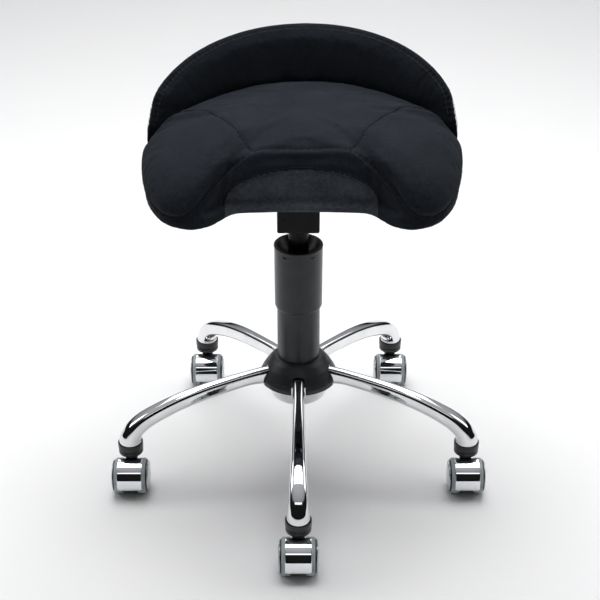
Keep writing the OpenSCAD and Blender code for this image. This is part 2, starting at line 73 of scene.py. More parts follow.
class Nodes:
    """Short ways to add the nodes that the materials here share."""

    def __init__(self, material):
        self.tree = material.node_tree
        self.shader = self.tree.nodes["Principled BSDF"]
        self.place = self.tree.nodes.new("ShaderNodeTexCoord").outputs["Object"]

    def add(self, kind, **values):
        node = self.tree.nodes.new("ShaderNode" + kind)
        for name, value in values.items():
            setattr(node, name, value)
        return node

    def link(self, output, target):
        self.tree.links.new(output, target)

    def scaled(self, scale):
        mapping = self.add("Mapping")
        mapping.inputs["Scale"].default_value = scale
        self.link(self.place, mapping.inputs["Vector"])
        return mapping.outputs["Vector"]

    def noise(self, size, detail=2.0, stretch=(1, 1, 1)):
        """Noise with features of about size millimetres, as a factor from 0 to 1."""
        node = self.add("TexNoise")
        node.inputs["Scale"].default_value = 1 / (size * MM)
        node.inputs["Detail"].default_value = detail
        self.link(self.scaled(stretch), node.inputs["Vector"])
        return node.outputs["Fac"]

    def math(self, operation, first, second):
        node = self.add("Math", operation=operation)
        for socket, value in zip(node.inputs, (first, second)):
            if isinstance(value, (int, float)):
                socket.default_value = value
            else:
                self.link(value, socket)
        return node.outputs["Value"]

    def ramp(self, factor, low, high, start=0.0, end=1.0):
        """Colour going from low to high as the factor goes from start to end."""
        node = self.add("ValToRGB")
        first, last = node.color_ramp.elements
        first.position, last.position = start, end
        first.color, last.color = (*low, 1), (*high, 1)
        self.link(factor, node.inputs["Fac"])
        return node.outputs["Color"]

    def spread(self, factor, low, high):
        """The factor's 0.3 to 0.7 mapped to low to high, for roughness."""
        node = self.add("MapRange")
        node.inputs["From Min"].default_value = 0.3
        node.inputs["From Max"].default_value = 0.7
        node.inputs["To Min"].default_value = low
        node.inputs["To Max"].default_value = high
        self.link(factor, node.inputs["Value"])
        return node.outputs["Result"]

    def bump(self, height, distance, under=None):
        """Normals bumped by a height factor that is worth distance millimetres."""
        node = self.add("Bump")
        node.inputs["Distance"].default_value = distance * MM
        node.inputs["Strength"].default_value = 1.0
        self.link(height, node.inputs["Height"])
        if under is not None:
            self.link(under, node.inputs["Normal"])
        return node.outputs["Normal"]

    def wave(self, size, axis):
        """A sine across an axis, once every size millimetres, from 0 to 1."""
        node = self.add("TexWave", wave_type="BANDS", bands_direction=axis)
        # A wave texture repeats 20 times in 2 pi units at scale 1
        node.inputs["Scale"].default_value = 2 * math.pi / (20 * size * MM)
        node.inputs["Distortion"].default_value = 0.0
        self.link(self.place, node.inputs["Vector"])
        return node.outputs["Fac"]


def shade(colour, factor):
    return tuple(min(1.0, c * factor) for c in colour)


def moulded(name, colour, roughness, grain=0.5, depth=0.03, specular=0.5):
    """Moulded plastic or powder coat: fine grain, slightly uneven gloss and tone."""
    material = new_material(name, colour, roughness, specular=specular)
    n = Nodes(material)
    n.link(n.ramp(n.noise(18, 3), shade(colour, 0.82), shade(colour, 1.18), 0.3, 0.7),
           n.shader.inputs["Base Color"])
    n.link(n.spread(n.noise(9, 3), roughness * 0.88, roughness * 1.12), n.shader.inputs["Roughness"])
    n.link(n.bump(n.noise(grain, 2), depth), n.shader.inputs["Normal"])
    return material


def polished(name, colour, roughness, wave_size=40, wave_depth=0.02):
    """Mirror metal: faint smudges in its gloss, and the slight waves of hand polishing."""
    material = new_material(name, colour, roughness, metallic=1.0)
    n = Nodes(material)
    n.link(n.ramp(n.noise(30, 4), shade(colour, 0.94), shade(colour, 1.04), 0.35, 0.7),
           n.shader.inputs["Base Color"])
    n.link(n.spread(n.noise(14, 5), roughness * 0.6, roughness * 1.6), n.shader.inputs["Roughness"])
    n.link(n.bump(n.noise(wave_size, 1), wave_depth), n.shader.inputs["Normal"])
    return material


def machined(name, colour, roughness):
    """Plain steel with fine lines along its length."""
    material = new_material(name, colour, roughness, metallic=1.0)
    n = Nodes(material)
    lines = n.noise(0.8, 3, stretch=(1, 1, 0.05))
    n.link(n.ramp(n.noise(12, 3), shade(colour, 0.75), colour, 0.3, 0.7), n.shader.inputs["Base Color"])
    n.link(n.spread(lines, roughness * 0.7, roughness * 1.3), n.shader.inputs["Roughness"])
    n.link(n.bump(lines, 0.01), n.shader.inputs["Normal"])
    return material


def woven(name, colour):
    """Close upholstery cloth: fine slubbed threads along X, Y and Z, with a soft mottle."""
    material = new_material(name, colour, 0.9, specular=0.1, sheen=0.01)
    n = Nodes(material)
    threads = [n.noise(0.75, 2, stretch=stretch)
               for stretch in ((0.12, 1, 1), (1, 0.12, 1), (1, 1, 0.12))]
    weave = n.math("MAXIMUM", n.math("MAXIMUM", threads[0], threads[1]), threads[2])
    mottle = n.noise(4, 4)
    cloud = n.noise(45, 3)
    tone = n.math("ADD", n.math("MULTIPLY", weave, 0.5),
                  n.math("ADD", n.math("MULTIPLY", mottle, 0.3), n.math("MULTIPLY", cloud, 0.25)))
    n.link(n.ramp(tone, shade(colour, 0.45), shade(colour, 1.6), 0.38, 0.72),
           n.shader.inputs["Base Color"])
    n.link(n.spread(weave, 0.78, 0.95), n.shader.inputs["Roughness"])
    n.link(n.bump(n.noise(22, 3), 0.5, under=n.bump(weave, 0.14)), n.shader.inputs["Normal"])
    return material


def plywood(name):
    """Birch ply: grain along X on the faces, and dark glue lines round the edge."""
    material = new_material(name, (0.5, 0.36, 0.21), 0.6)
    n = Nodes(material)
    grain = n.noise(2.5, 5, stretch=(0.08, 1, 1))
    plies = n.math("MULTIPLY", n.wave(2.8, "Z"), 0.5)
    n.link(n.ramp(n.math("ADD", grain, plies), (0.34, 0.22, 0.11), (0.62, 0.46, 0.28), 0.3, 1.1),
           n.shader.inputs["Base Color"])
    n.link(n.bump(grain, 0.08), n.shader.inputs["Normal"])
    return material


# Lit and shaded copies of one cloth: the front panel's is painted lighter, as painted light from the
# floor's bounce, and the ridge's is painted darker, as painted shade
TOP_CLOTH = (0.0112, 0.0140, 0.0186)
RIDGE_CLOTH_PAINTED_SHADE = (0.0068, 0.0090, 0.0124)
SKIRT_CLOTH_PAINTED_LIGHT = (0.047, 0.053, 0.063)

MATERIALS = {
    "polished_aluminium": polished("polished_aluminium", (0.80, 0.81, 0.82), 0.035),
    "hub_plastic": moulded("hub_plastic", (0.020, 0.023, 0.028), 0.42, grain=0.9, depth=0.06),
    "black_steel": moulded("black_steel", (0.006, 0.006, 0.008), 0.3, grain=1.4, depth=0.02,
                           specular=0.12),
    "bush_plastic": moulded("bush_plastic", (0.75, 0.72, 0.62), 0.4),
    "bare_steel": machined("bare_steel", (0.55, 0.56, 0.57), 0.3),
    "sleeve_plastic": moulded("sleeve_plastic", (0.018, 0.021, 0.024), 0.32, grain=0.5, depth=0.02,
                              specular=0.4),
    "cup_plastic": moulded("cup_plastic", (0.008, 0.008, 0.009), 0.4),
    "stop_rubber": moulded("stop_rubber", (0.03, 0.03, 0.03), 0.75, grain=0.8, depth=0.05),
    "valve_plastic": moulded("valve_plastic", (0.35, 0.02, 0.02), 0.35),
    "plywood": plywood("plywood"),
    "seat_fabric": woven("seat_fabric", TOP_CLOTH),
    "castor_plastic": moulded("castor_plastic", (0.010, 0.010, 0.012), 0.3),
    "castor_chrome": polished("castor_chrome", (0.84, 0.86, 0.89), 0.04, wave_size=25),
    "wheel_grey": moulded("wheel_grey", (0.34, 0.38, 0.38), 0.5, grain=0.6, depth=0.02),
    "cap_silver": polished("cap_silver", (0.50, 0.52, 0.54), 0.22, wave_size=30, wave_depth=0.008),
}
# The ridge's cloth is the seat cloth painted darker, as painted shade
ridge_cloth_painted_shade = woven("ridge_fabric_painted_shade", RIDGE_CLOTH_PAINTED_SHADE)
# The front panel's cloth is the seat cloth painted lighter, as painted light
skirt_cloth_painted_light = woven("skirt_fabric_painted_light", SKIRT_CLOTH_PAINTED_LIGHT)
thread_material = moulded("stitching_thread", (0.006, 0.007, 0.009), 0.75, grain=0.3, depth=0.05)


# --- Mesh tools -----------------------------------------------------------
# A shape is a pair: a list of points in millimetres, and a list of faces

def joined(*shapes):
    points, faces = [], []
    for some_points, some_faces in shapes:
        start = len(points)
        points += [tuple(p) for p in some_points]
        faces += [tuple(start + i for i in face) for face in some_faces]
    return points, faces


def moved(shape, offset=(0, 0, 0), turn=0.0):
    """The shape turned round Z by turn, then moved by offset."""
    c, s = math.cos(turn), math.sin(turn)
    return [(p[0] * c - p[1] * s + offset[0], p[0] * s + p[1] * c + offset[1], p[2] + offset[2])
            for p in shape[0]], shape[1]


def curve(rows, steps):
    """Catmull-Rom curve through rows of numbers, with steps points between each pair."""
    rows = [np.array(row, float) for row in rows]
    out = []
    for i in range(len(rows) - 1):
        p0, p1, p2, p3 = rows[max(i - 1, 0)], rows[i], rows[i + 1], rows[min(i + 2, len(rows) - 1)]
        for k in range(steps):
            t = k / steps
            out.append(0.5 * (2 * p1 + (p2 - p0) * t + (2 * p0 - 5 * p1 + 4 * p2 - p3) * t ** 2
                              + (3 * p1 - p0 - 3 * p2 + p3) * t ** 3))
    return out + [rows[-1]]


def rounded(corners, radius, steps=5):
    """Closed outline with its corners turned into arcs. A corner's third number is its own radius."""
    out = []
    for i, corner in enumerate(corners):
        p = np.array(corner[:2], float)
        before = np.array(corners[i - 1][:2], float) - p
        after = np.array(corners[(i + 1) % len(corners)][:2], float) - p
        reach = (np.linalg.norm(before), np.linalg.norm(after))
        before, after = before / reach[0], after / reach[1]
        half = math.acos(max(-1.0, min(1.0, float(before @ after)))) / 2
        own = corner[2] if len(corner) > 2 else radius
        if own <= 0 or half > math.pi / 2 - 0.02:
            out += [p] * (steps + 1)
            continue
        cut = min(own / math.tan(half), 0.45 * reach[0], 0.45 * reach[1])
        own = cut * math.tan(half)
        centre = p + (before + after) / np.linalg.norm(before + after) * own / math.sin(half)
        start, end = p + before * cut - centre, p + after * cut - centre
        first = math.atan2(start[1], start[0])
        turn = (math.atan2(end[1], end[0]) - first + math.pi) % (2 * math.pi) - math.pi
        angles = [first + turn * k / steps for k in range(steps + 1)]
        out += [centre + own * np.array((math.cos(a), math.sin(a))) for a in angles]
    return out


def loft(rings, closed=False):
    """Skin through rings of the same number of points, capped with fans unless it closes on itself."""
    n = len(rings[0])
    points = [tuple(p) for ring in rings for p in ring]
    count = len(rings)
    faces = []
    for k in range(count if closed else count - 1):
        a, b = k * n, (k + 1) % count * n
        faces += [(a + i, a + (i + 1) % n, b + (i + 1) % n, b + i) for i in range(n)]
    if not closed:
        for ring, start, flip in ((rings[0], 0, True), (rings[-1], (count - 1) * n, False)):
            points.append(tuple(np.mean(np.array(ring, float), axis=0)))
            centre = len(points) - 1
            fans = [(start + i, start + (i + 1) % n, centre) for i in range(n)]
            faces += [face[::-1] for face in fans] if flip else fans
    return points, faces


def lathe(profile, segments=96):
    """Solid of revolution round Z from a closed outline of (radius, height)."""
    turns = [2 * math.pi * i / segments for i in range(segments)]
    rings = [[(r * math.cos(turn), r * math.sin(turn), z) for turn in turns] for r, z in profile]
    return loft(rings, closed=True)


def tube(path, radius, sides=12):
    """Round bar along a path, with its ends rounded over."""
    path = [np.array(p, float) for p in path]
    rings = []
    side = None
    for i, p in enumerate(path):
        along = path[min(i + 1, len(path) - 1)] - path[max(i - 1, 0)]
        along /= np.linalg.norm(along)
        if side is None:
            side = np.cross(along, (0, 0, 1) if abs(along[2]) < 0.9 else (0, 1, 0))
        side = side - along * (side @ along)
        side /= np.linalg.norm(side)
        up = np.cross(along, side)
        places = [(p, 1.0)]
        if i in (0, len(path) - 1):
            outward = -along if i == 0 else along
            ends = [(p + outward * radius * s, c) for s, c in ((0.5, 0.87), (0.87, 0.5))]
            places = ends[::-1] + places if i == 0 else places + ends
        for centre, share in places:
            rings.append([centre + radius * share * (side * math.cos(a) + up * math.sin(a))
                          for a in (2 * math.pi * k / sides for k in range(sides))])
    return loft(rings)


def box_shape(low, high, bevel=0.6):
    """Box with its upright edges rounded and its top and bottom edges chamfered."""
    corners = [(low[0], low[1]), (high[0], low[1]), (high[0], high[1]), (low[0], high[1])]
    inner = [(low[0] + bevel, low[1] + bevel), (high[0] - bevel, low[1] + bevel),
             (high[0] - bevel, high[1] - bevel), (low[0] + bevel, high[1] - bevel)]
    outer_ring, inner_ring = rounded(corners, bevel * 2, 3), rounded(inner, bevel, 3)
    return loft([[(*p, z) for p in ring] for ring, z in (
        (inner_ring, low[2]), (outer_ring, low[2] + bevel), (outer_ring, high[2] - bevel),
        (inner_ring, high[2]))])


def make_mesh(name, shape, material, sharp=32.0):
    mesh = bpy.data.meshes.new(name)
    mesh.from_pydata([tuple(float(c) * MM for c in p) for p in shape[0]], [], shape[1])
    work = bmesh.new()
    work.from_mesh(mesh)
    bmesh.ops.remove_doubles(work, verts=work.verts, dist=1e-6)
    bmesh.ops.dissolve_degenerate(work, edges=work.edges, dist=1e-7)
    bmesh.ops.recalc_face_normals(work, faces=work.faces)
    work.to_mesh(mesh)
    work.free()
    smooth(mesh, sharp)
    mesh.materials.append(material)
    return mesh


def smooth(mesh, sharp):
    mesh.shade_smooth()
    mesh.set_sharp_from_angle(angle=math.radians(sharp))


def add_object(name, mesh, offset=(0, 0, 0)):
    obj = bpy.data.objects.new(name, mesh)
    obj.location = Vector(offset) * MM
    scene.collection.objects.link(obj)
    return obj


def add_piece(name, mesh, body, slot, *nodes, offset=(0, 0, 0)):
    """Puts a finished mesh in the scene, on its body, standing for its CAD nodes."""
    obj = add_object(name, mesh, offset)
    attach(obj, body)
    if nodes:
        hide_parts(*nodes)
    return obj


def apply_modifiers(obj):
    depsgraph = bpy.context.evaluated_depsgraph_get()
    mesh = bpy.data.meshes.new_from_object(obj.evaluated_get(depsgraph))
    obj.modifiers.clear()
    obj.data = mesh


def cut(mesh, cutter_shape, sharp=32.0):
    """The mesh with the cutter taken out of it."""
    target = add_object("cut_target", mesh)
    cutter = add_object("cut_tool", make_mesh("cut_tool", cutter_shape, mesh.materials[0]))
    modifier = target.modifiers.new("cut", "BOOLEAN")
    modifier.operation, modifier.object, modifier.solver = "DIFFERENCE", cutter, "EXACT"
    bpy.context.view_layer.update()
    apply_modifiers(target)
    result = target.data
    bpy.data.objects.remove(target)
    bpy.data.objects.remove(cutter)
    smooth(result, sharp)
    return result


# --- Star base and its cover ----------------------------------------------
SOCKET_WIDTH = 31.7
# Stations of a leg's middle line: reach, height, thickness, width, how round the section is
LEG = [(16, 141, 30, 21, 0), (40, 143, 27, 19.6, 0), (66, 144.6, 19.4, 18.6, 0),
       (100, 140.5, 19, 19.4, 0), (140, 134, 19.6, 21.5, 0), (175, 125.5, 20, 23.6, 0),
       (205, 115, 20.6, 25.6, 0.05), (228, 104.2, 22, 27, 0.25), (242, 92.6, 25, 28.4, 0.6),
       (248.6, 81.5, 28.6, 29.6, 0.9), (STEM_CIRCLE, 76, 30.8, 30.8, 1),
       (STEM_CIRCLE, 71, SOCKET_WIDTH, SOCKET_WIDTH, 1)]
SOCKET_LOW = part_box("star_base")[0].z / MM
LEG_SIDES = 56


def leg_section(width, thick, roundness):
    """Outline of a leg: crowned on top, with sides that lean in, and flatter below."""
    top_squareness, under_squareness, most_lean = 1.7, 2.2, 0.22
    lean = most_lean * (1 - roundness)
    out = []
    for i in range(LEG_SIDES):
        a = 2 * math.pi * i / LEG_SIDES
        c, s = math.cos(a), math.sin(a)
        power = 2 / (2 + (1 - roundness) * (top_squareness if s > 0 else under_squareness))
        x = width / 2 * math.copysign(abs(c) ** power, c)
        y = thick / 2 * math.copysign(abs(s) ** power, s)
        out.append((x * (1 - lean * (0.5 + y / thick)), y))
    return out


def leg_shape():
    """The front leg, from the hub out along -Y and down into its round socket."""
    stations = curve(LEG, 7)
    rings = []
    for i, (reach, height, thick, width, roundness) in enumerate(stations):
        ahead, behind = stations[min(i + 1, len(stations) - 1)], stations[max(i - 1, 0)]
        step = np.array((ahead[0] - behind[0], ahead[1] - behind[1]))
        if i == len(stations) - 1:
            step = np.array((0.0, -1.0))
        step /= np.linalg.norm(step)
        up = np.array((-step[1], step[0]))
        rings.append([(x, -(reach + up[0] * y), height + up[1] * y)
                      for x, y in leg_section(width, thick, roundness)])
    for drop, inset in ((0.75, 0.25), (1.0, 1.0), (1.0, 3.5)):
        size = SOCKET_WIDTH - 2 * inset
        rings.append([(x, -STEM_CIRCLE - y, SOCKET_LOW + 1 - drop)
                      for x, y in leg_section(size, size, 1)])
    return loft(rings)


def star_base():
    bowl = lathe(rounded([(24.5, 104), (33, 104, 2), (38.5, 108), (42.5, 118), (43.5, 130), (42, 146),
                          (38, 154), (33, 160), (25.2, 160)], 4))
    legs = [moved(leg_shape(), turn=i * LEG_TURN) for i in range(len(PLACES))]
    mesh = make_mesh("star_base_form", joined(bowl, *legs), MATERIALS["polished_aluminium"], 50)
    add_piece("star_base_form", mesh, "base", "polished_aluminium", "star_base")


def hub_cover():
    """Dome whose skirt has an arch over each leg."""
    dome = rounded([(25.1, 171), (31, 171, 1.2), (34.5, 169.6), (39, 165.8), (46, 157), (52, 147),
                    (55, 140), (56, 134, 0.6), (53.8, 134, 0.4), (52.8, 139.4), (49.8, 146),
                    (43.8, 155.6), (37, 164), (33.5, 166.8), (30.6, 168), (25.1, 168)], 6, 4)
    mesh = make_mesh("hub_cover_form", lathe(dome, 160), MATERIALS["hub_plastic"])
    width, thick, middle = 21.4, 24, 144.5
    arch = [(x if y > 0 else math.copysign(width / 2, x), y if y > 0 else -20)
            for x, y in leg_section(width, thick, 0.25)]
    cutters = []
    for i in range(len(PLACES)):
        rings = [[(x, -reach, middle + rise + y) for x, y in arch]
                 for reach, rise in ((34, 2.4), (75, -1.4))]
        cutters.append(moved(loft(rings), turn=i * LEG_TURN))
    add_piece("hub_cover_form", cut(mesh, joined(*cutters)), "base", "hub_plastic", "hub_cover")


# --- Column ---------------------------------------------------------------

def sleeves():
    """Three telescopic sleeves, and the cup that closes the top one above four narrow windows."""
    lower = [(25.1, 171), (29.9, 171), (29.9, 303), (28.4, 303), (28.4, 174), (25.1, 174)]
    middle = [(30.15, 249, 0.2), (31, 249, 0.3), (31.25, 249.8, 0.4), (31.25, 320), (30.15, 320)]
    upper = [(31.5, 252, 0.3), (32.0, 252, 0.5), (33, 254.2, 1.6), (33.3, 340), (33.3, 342.6, 0.3),
             (33.8, 343.2, 0.3), (33.8, 346, 0.9), (31.5, 346, 0.4)]
    cup = [(31.4, 345.4), (30.1, 345.4, 0.3), (26, 338, 3), (16, 327, 2), (14.03, 326.5),
           (14.03, 323.5), (16.6, 323.5, 1.5), (25.8, 334, 3), (28.3, 340, 1), (31.4, 342)]
    windows = []
    for turn in (-34, 34, 146, 214):
        slot = box_shape((-3, -40, 337), (3, -30.8, 338.8), 0.3)
        windows.append(moved(slot, turn=math.radians(turn)))
    for name, outline, body, slot in (("lower_sleeve", lower, "base", "sleeve_plastic"),
                                      ("middle_sleeve", middle, "middle_cover", "sleeve_plastic"),
                                      ("upper_sleeve", upper, "seat", "sleeve_plastic"),
                                      ("sleeve_cap", cup, "seat", "cup_plastic")):
        mesh = make_mesh(name + "_form", lathe(rounded(outline, 0.4, 4), 128), MATERIALS[slot])
        if name == "upper_sleeve":
            mesh = cut(mesh, joined(*windows))
        add_piece(name + "_form", mesh, body, slot, name)


# --- Mechanism under the seat ---------------------------------------------
BRACKET_HALF = (27.9, 60.0)
BRACKET_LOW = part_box("mechanism_bracket")[0].z / MM
PLATE_LOW = 446.0
PLATE_THICK = 4.0
PLATE_HALF = (75, 85)
BOLT_AT = (58, 66)
SHEET = 3.0
PIVOT = (19.5, 436.0)
LUG_AT, LUG_THICK = 7.5, 3.0


def rectangle(half, radius):
    """Rounded rectangle round the column's axis."""
    x, y = half
    return rounded([(-x, -y), (x, -y), (x, y), (-x, y)], radius, 6)


def channel_shape():
    """Pressed tray with rolled front and back edges and a hole for the cone socket."""
    x, y = BRACKET_HALF
    roll = 4.0
    rings = [(rectangle((x, y), 2.4), PLATE_LOW)]
    for k in range(7):
        a = math.pi / 2 * k / 6
        half = (x - 1.6 * (1 - math.cos(a)), y - roll * (1 - math.cos(a)))
        rings.append((rectangle(half, 2.4), BRACKET_LOW + roll * (1 - math.sin(a))))
    hole = [19.02 * p / np.linalg.norm(p) for p in rings[0][0]]
    inner = rectangle((x - SHEET, y - SHEET), 1)
    rings += [(hole, BRACKET_LOW), (hole, BRACKET_LOW + SHEET),
              (rectangle((x - SHEET - 1.4, y - SHEET - 1.4), 1), BRACKET_LOW + SHEET),
              (inner, BRACKET_LOW + SHEET + 1.4), (inner, PLATE_LOW)]
    return loft([[(*p, z) for p in ring] for ring, z in rings], closed=True)


def bracket():
    """Channel with a side window for the lever, its top plate, and two lugs for the pivot pin."""
    window = moved(lathe([(0, -4), (5.5, -4), (5.5, 4), (0, 4)], 48))
    window = [(p[2] + BRACKET_HALF[0] - 1.5, p[1], p[0] + PIVOT[1] + 0.3) for p in window[0]], window[1]
    mesh = cut(make_mesh("channel", channel_shape(), MATERIALS["black_steel"], 30), window)
    lugs = [box_shape((PIVOT[0] - 4.5, side * LUG_AT - LUG_THICK / 2, PIVOT[1] - 5.5),
                      (PIVOT[0] + 5.5, side * LUG_AT + LUG_THICK / 2, PLATE_LOW), 0.4)
            for side in (-1, 1)]
    bevel = 0.8
    plate_top = PLATE_LOW + PLATE_THICK
    plate = loft([[(*p, z) for p in rectangle((PLATE_HALF[0] - inset, PLATE_HALF[1] - inset), 12)]
                  for inset, z in ((bevel, PLATE_LOW), (0, PLATE_LOW + bevel),
                                   (0, plate_top - bevel), (bevel, plate_top))])
    work = bmesh.new()
    work.from_mesh(mesh)
    work.from_mesh(make_mesh("plate", joined(plate, *lugs), MATERIALS["black_steel"]))
    work.to_mesh(mesh)
    work.free()
    smooth(mesh, 32)
    add_piece("mechanism_bracket_form", mesh, "seat", "black_steel", "mechanism_bracket")


def bolts():
    """Four flanged socket-head bolts up through the plate."""
    low = PLATE_LOW - 6.5
    washer = rounded([(4, PLATE_LOW - 1.5), (9, PLATE_LOW - 1.5), (9, PLATE_LOW), (4, PLATE_LOW)], 0.3)
    head = [(3.4, low + 3.5), (3.4, low), (6.5, low, 1), (6.5, PLATE_LOW - 1.5), (4, PLATE_LOW - 1.5),
            (4, PLATE_LOW + 13), (0, PLATE_LOW + 13, 0), (0, low + 3.5, 0)]
    bolt = joined(lathe(washer, 48), lathe(rounded(head, 0.3), 48))
    shape = joined(*[moved(bolt, (side * BOLT_AT[0], end * BOLT_AT[1], 0))
                     for side in (-1, 1) for end in (-1, 1)])
    mesh = make_mesh("mounting_bolts_form", shape, MATERIALS["bare_steel"])
    add_piece("mounting_bolts_form", mesh, "seat", "bare_steel", "mounting_bolts")


ROD_R = 3.5
GRIP_HEIGHT = 412.0
LEVER_PATH = [(-1, 436), (24, 436), (31, 435.4), (36, 432.4), (45, 424), (53, 415.6), (58.6, 412.6),
              (66, GRIP_HEIGHT), (100, GRIP_HEIGHT), (148, GRIP_HEIGHT)]
# Stations of the grip: place along X, half width, half thickness
GRIP = [(112, 3.8, 3.8), (112.3, 4.9, 4.9), (113.2, 5.5, 5.4), (120, 5.7, 5.4), (132, 7.4, 5.3),
        (145, 9.8, 5.4), (153, 10.8, 5.4), (158, 10.3, 5.0), (160.8, 8.6, 4.0), (161.8, 6, 2.6),
        (162, 3, 1.2)]


def lever():
    """Bent rod with an eye at its pivot, and a paddle grip with shallow ribs."""
    rod = tube([(x, 0, z) for x, z in curve(LEVER_PATH, 4)], ROD_R, 20)
    eye = lathe(rounded([(2.6, -5.4), (4.8, -5.4), (4.8, 5.4), (2.6, 5.4)], 0.4), 40)
    eye = [(p[0] + PIVOT[0], p[2], p[1] + PIVOT[1]) for p in eye[0]], eye[1]
    mesh = make_mesh("lever_rod_form", joined(rod, eye), MATERIALS["black_steel"])
    add_piece("lever_rod_form", mesh, "lever", "black_steel", "lever_rod")
    rib_from, rib_to, rib_pitch, rib_depth = 122, 155, 5.5, 0.07
    rings = []
    for x, half_w, half_t in curve(GRIP, 6):
        ridge = max(0, math.sin((x - rib_from) / rib_pitch * 2 * math.pi)) * (rib_from < x < rib_to)
        rib = 1 - rib_depth * ridge
        rings.append([(x, half_w * math.copysign(abs(math.cos(a)) ** 0.8, math.cos(a)),
                       GRIP_HEIGHT + half_t * rib * math.copysign(abs(math.sin(a)) ** 0.8, math.sin(a)))
                      for a in (2 * math.pi * k / 40 for k in range(40))])
    mesh = make_mesh("lever_grip_form", loft(rings), MATERIALS["castor_plastic"])
    add_piece("lever_grip_form", mesh, "lever", "castor_plastic", "lever_grip")


# --- Castors --------------------------------------------------------------
# Drawn round the stem of a castor at the origin, with the axle towards -Y
TRAIL = 17.0
WHEEL_R = 25.0
HOOD_HALF = 17.4


def on_axle(shape, side=1):
    """A shape turned round Z is laid along X at the axle, mirrored for the left side."""
    points = [(side * z, -TRAIL + y, WHEEL_R + x) for x, y, z in shape[0]]
    return points, shape[1]


def housing_mesh():
    """Fork core with a neck, and a collar of two rings that hides the top of the stem."""
    collar = lathe(rounded([(6, 55), (15.4, 55, 0.6), (17.1, 56, 1.2), (17.1, 61.4, 1.4), (15.9, 62.4, 0.4),
                            (17.6, 63.4, 1.4), (17.6, 72.3, 0.4), (16.6, 72.3, 0.3), (16.6, 69.7, 0.3),
                            (6, 69.7)], 0.5), 96)
    neck = lathe(rounded([(5.6, 24), (8.5, 24), (8.5, 49, 4), (13.5, 55.4, 1), (5.6, 55.4)], 0.5), 64)
    core = on_axle(lathe(rounded([(3.05, -9), (20, -9), (20, 9), (3.05, 9)], 1.2), 96))
    return make_mesh("castor_housing_form", joined(collar, neck, core), MATERIALS["castor_plastic"])


def hood_mesh():
    """Plated shell over the front of both wheels, with its lower and side edges turned in."""
    start, end = math.radians(-10), math.radians(106)
    skin = 1.2
    outer, lip = WHEEL_R + 1.8, 2.2
    rings = []
    steps = 48
    for k in range(steps + 1):
        a = start + (end - start) * k / steps
        edge = min(k, steps - k)
        shrink = (1.5, 0.45, 0.1)[edge] if edge < 3 else 0.0
        side = HOOD_HALF - shrink
        inside = HOOD_HALF - skin - shrink
        half = [(outer, side, 1.6), (outer - lip, side, 0.3), (outer - lip, inside, 0.3),
                (outer - skin, inside, 0.5)]
        other = [(r, -x, own) for r, x, own in half]
        section = rounded(other[:1] + half + other[:0:-1], 0.4, 6)
        rings.append([(x, -TRAIL - r * math.sin(a), WHEEL_R + r * math.cos(a)) for r, x in section])
    return make_mesh("castor_hood_form", loft(rings), MATERIALS["castor_chrome"], 40)


def wheel_mesh(side):
    """Tread ring, web and hub, with the shallow groove that the cap sits in."""
    outline = [(3.06, 9.6), (6.5, 9.6), (6.5, 17, 0.5), (20.2, 17, 0.5), (20.2, 9.8), (23.4, 9.8, 1),
               (WHEEL_R, 11.4, 1.2), (WHEEL_R, 20, 1.6), (23.9, 21.9, 0.8), (3.06, 22)]
    shape = on_axle(lathe(rounded(outline, 0.4), 112), side)
    return make_mesh("wheel_form", shape, MATERIALS["wheel_grey"])


def cap_mesh(side):
    """Silver dome that stands off the wheel, with a rim and a step round its crown."""
    outline = [(0, 23.4, 0), (21.3, 23.4, 0.2), (21.9, 24.3, 0.5), (20.8, 25.2, 0.8),
               (19.2, 25.4, 0.5), (18.5, 24.9, 0.3), (17.7, 25.0, 0.3), (17.1, 25.7, 0.5),
               (13, 26.3, 6), (7, 26.65, 8), (0, 26.7, 0)]
    shape = on_axle(lathe(rounded(outline, 0.5, 4), 112), side)
    return make_mesh("wheel_cap_form", shape, MATERIALS["cap_silver"], 24)


def groove_mesh(side):
    """Black band set back between the tread and the cap."""
    outline = [(18, 21.7), (22.6, 21.7), (22.3, 23.9, 0.4), (18, 24)]
    shape = on_axle(lathe(rounded(outline, 0.2, 3), 112), side)
    return make_mesh("wheel_groove", shape, MATERIALS["castor_plastic"])


def castors():
    housing, hood = housing_mesh(), hood_mesh()
    wheels = {side: (wheel_mesh(x), cap_mesh(x), groove_mesh(x)) for side, x in SIDES.items()}
    for i, place in enumerate(PLACES):
        stem = (STEM_CIRCLE * math.sin(i * LEG_TURN), -STEM_CIRCLE * math.cos(i * LEG_TURN), 0)
        body = "castor_" + place
        add_piece(f"castor_housing_{place}_form", housing, body, "castor_plastic",
                  "castor_housing_" + place, offset=stem)
        add_piece(f"castor_hood_{place}_form", hood, body, "castor_chrome", "castor_hood_" + place,
                  offset=stem)
        for side, (wheel, cap, groove) in wheels.items():
            spot = f"{place}_{side}"
            add_piece(f"wheel_{spot}_form", wheel, "wheel_" + spot, "wheel_grey", "wheel_" + spot,
                      offset=stem)
            add_piece(f"wheel_cap_{spot}_form", cap, "wheel_" + spot, "cap_silver",
                      "wheel_cap_" + spot, offset=stem)
            add_piece(f"wheel_groove_{spot}", groove, "wheel_" + spot, "castor_plastic", offset=stem)


# --- Seat -----------------------------------------------------------------
PAN_TOP = 460.0
RIDGE_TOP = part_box("back_ridge")[1].z / MM
CREASE_Y, CREASE_R, CREASE_TURN = -94.0, 220.0, 57.0
BACK_Y, BACK_R, BACK_TURN = -20.0, 206.0, 83.0


def mesh_points(mesh):
    flat = np.zeros(len(mesh.vertices) * 3)
    mesh.vertices.foreach_get("co", flat)
    return flat.reshape(-1, 3)


